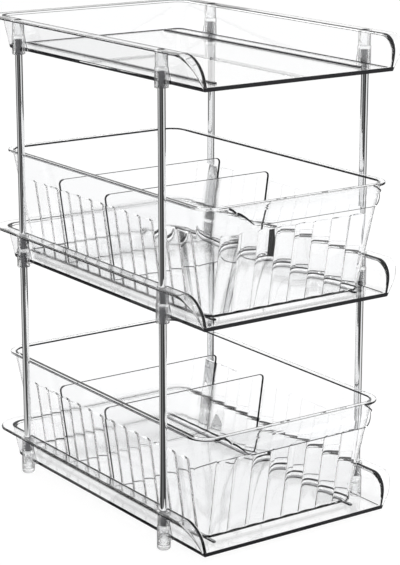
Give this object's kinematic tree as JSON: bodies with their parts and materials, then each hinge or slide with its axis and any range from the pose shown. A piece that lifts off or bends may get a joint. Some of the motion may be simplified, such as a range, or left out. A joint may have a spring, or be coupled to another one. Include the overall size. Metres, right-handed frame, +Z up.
{
  "type": "under sink organizer",
  "caption": "Free-standing clear organizer: open trays stacked on chrome rods, with slide-out reeded bins and lift-out dividers.",
  "frame": {"origin": "on the ground, at the middle of the plan's box over the trays and the pull of the middle bin", "axes": "X runs left to right seen from the open front, the front and both pulls face -Y, +Z is up"},
  "size_m": [0.208, 0.3254, 0.3926],
  "materials": {
    "clear_tray": "clear, polished",
    "clear_bin": "clear, polished",
    "clear_divider": "clear, polished",
    "clear_foot": "clear, polished",
    "chrome_rod": "polished"
  },
  "bodies": {
    "frame": {"top_tray": "clear_tray", "middle_tray": "clear_tray", "bottom_tray": "clear_tray", "upper_rod_front_left": "chrome_rod", "upper_rod_front_right": "chrome_rod", "upper_rod_back_left": "chrome_rod", "upper_rod_back_right": "chrome_rod", "lower_rod_front_left": "chrome_rod", "lower_rod_front_right": "chrome_rod", "lower_rod_back_left": "chrome_rod", "lower_rod_back_right": "chrome_rod", "foot_front_left": "clear_foot", "foot_front_right": "clear_foot", "foot_back_left": "clear_foot", "foot_back_right": "clear_foot"},
    "middle_bin": {"middle_bin": "clear_bin"},
    "bottom_bin": {"bottom_bin": "clear_bin"},
    "middle_divider_front": {"middle_divider_front": "clear_divider"},
    "middle_divider_rear": {"middle_divider_rear": "clear_divider"},
    "bottom_divider_front": {"bottom_divider_front": "clear_divider"},
    "bottom_divider_rear": {"bottom_divider_rear": "clear_divider"}
  },
  "joints": [
    {"name": "middle_bin_slide", "type": "slide", "parent": "frame", "child": "middle_bin", "axis": [0, -1, 0], "range_m": [-0.0046, 0.1354]},
    {"name": "bottom_bin_slide", "type": "slide", "parent": "frame", "child": "bottom_bin", "axis": [0, -1, 0], "range_m": [0, 0.14]},
    {"name": "middle_divider_front_lift", "type": "slide", "parent": "middle_bin", "child": "middle_divider_front", "axis": [0, 0, 1], "range_m": [0, 0.09]},
    {"name": "middle_divider_rear_lift", "type": "slide", "parent": "middle_bin", "child": "middle_divider_rear", "axis": [0, 0, 1], "range_m": [0, 0.09]},
    {"name": "bottom_divider_front_lift", "type": "slide", "parent": "bottom_bin", "child": "bottom_divider_front", "axis": [0, 0, 1], "range_m": [0, 0.09]},
    {"name": "bottom_divider_rear_lift", "type": "slide", "parent": "bottom_bin", "child": "bottom_divider_rear", "axis": [0, 0, 1], "range_m": [0, 0.09]}
  ]
}
